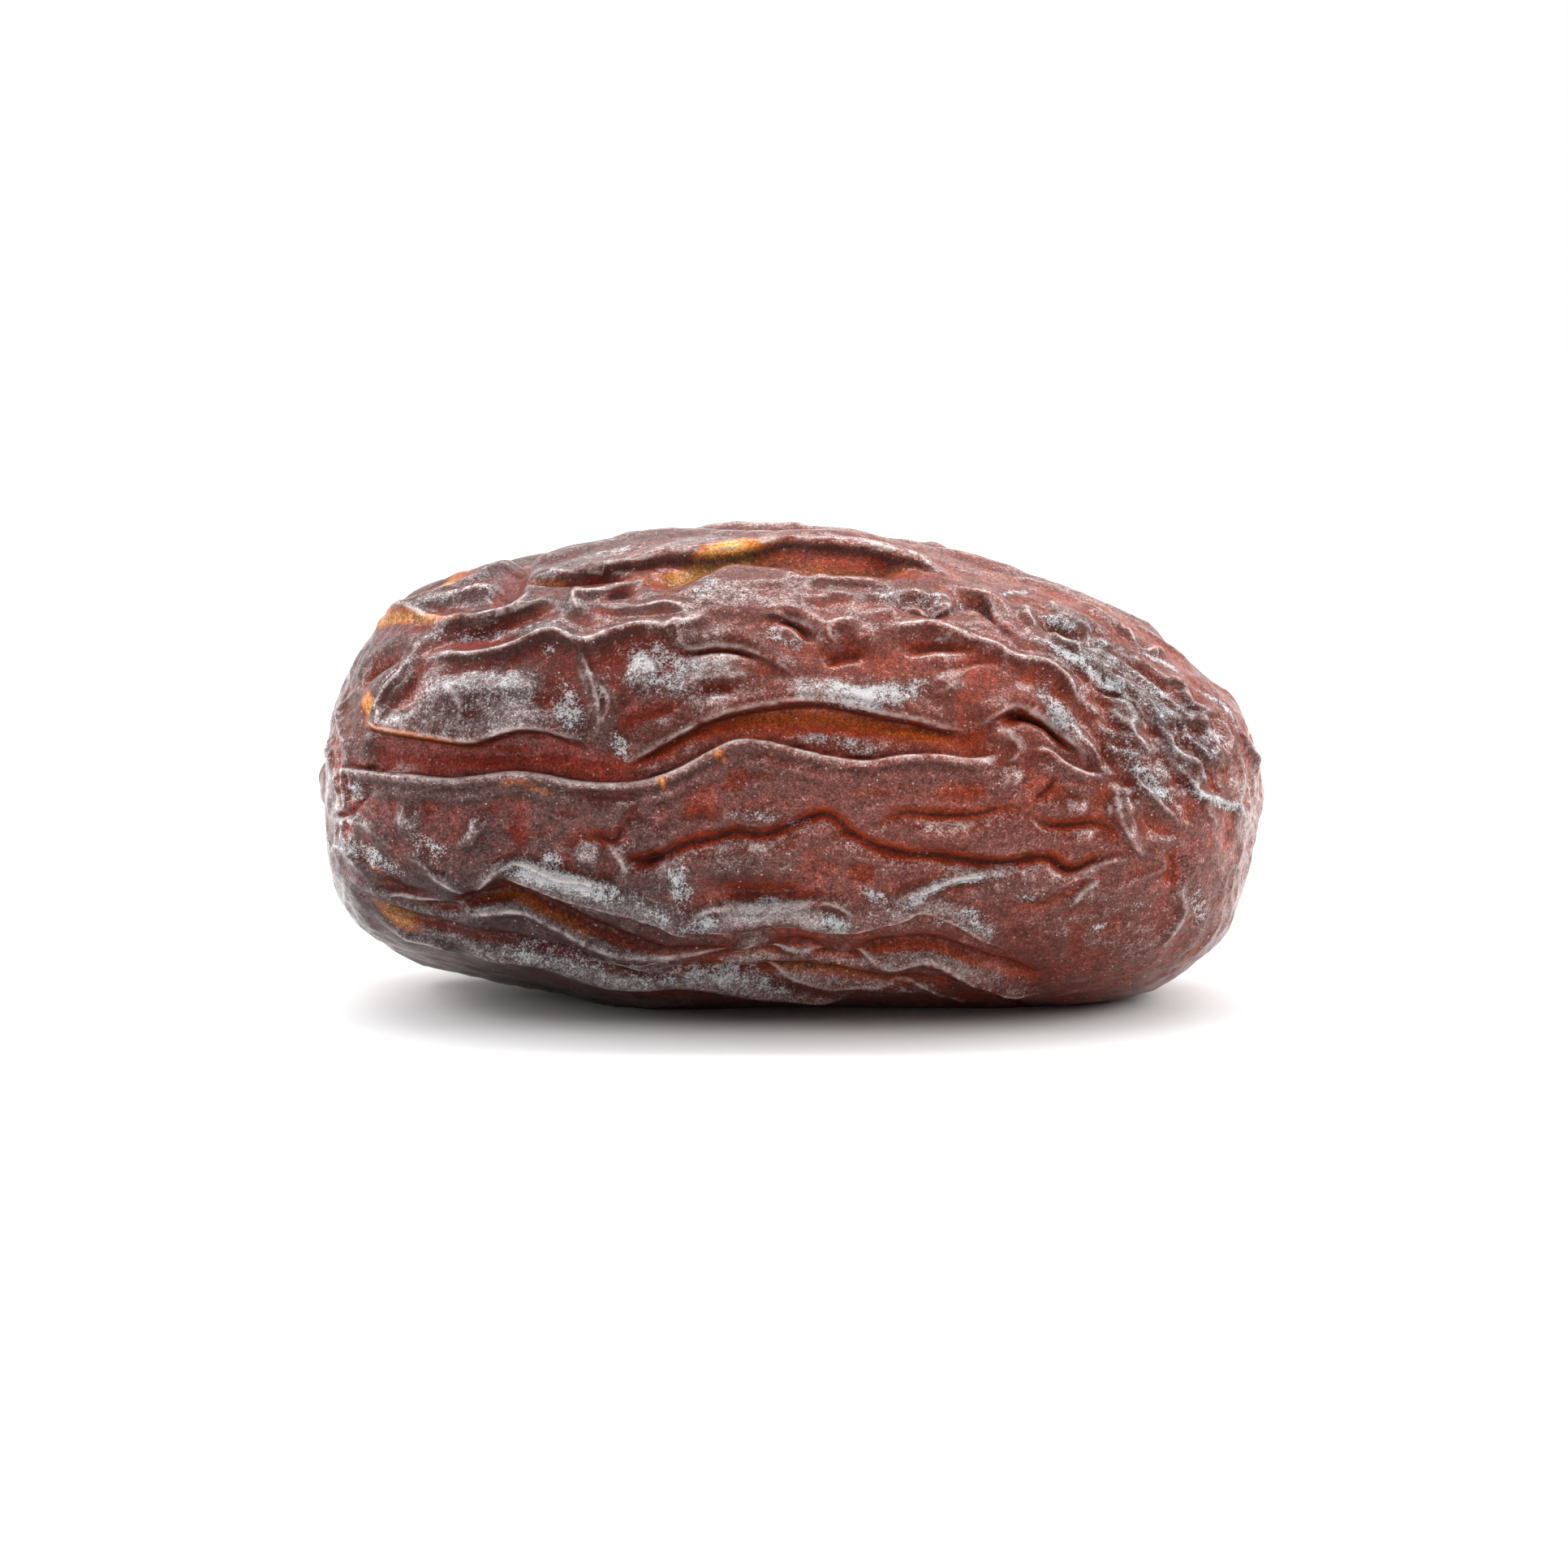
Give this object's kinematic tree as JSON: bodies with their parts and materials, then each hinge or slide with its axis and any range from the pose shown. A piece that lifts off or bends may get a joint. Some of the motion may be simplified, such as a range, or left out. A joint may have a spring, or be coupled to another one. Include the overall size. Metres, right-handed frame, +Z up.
{
  "type": "medjool date",
  "caption": "Whole dried medjool date lying on its side, its soft skin shrunk into deep long folds.",
  "frame": {"origin": "centre of the date's box on the surface it lies on", "axes": "+X from the stem end to the tip, along the longest extent; +Z up from the surface it lies on; the pictured side faces -Y"},
  "size_m": [0.0458, 0.025, 0.0235],
  "materials": {
    "date_skin": "semi_gloss"
  },
  "bodies": {
    "root": {"date_fruit": "date_skin"}
  },
  "joints": []
}
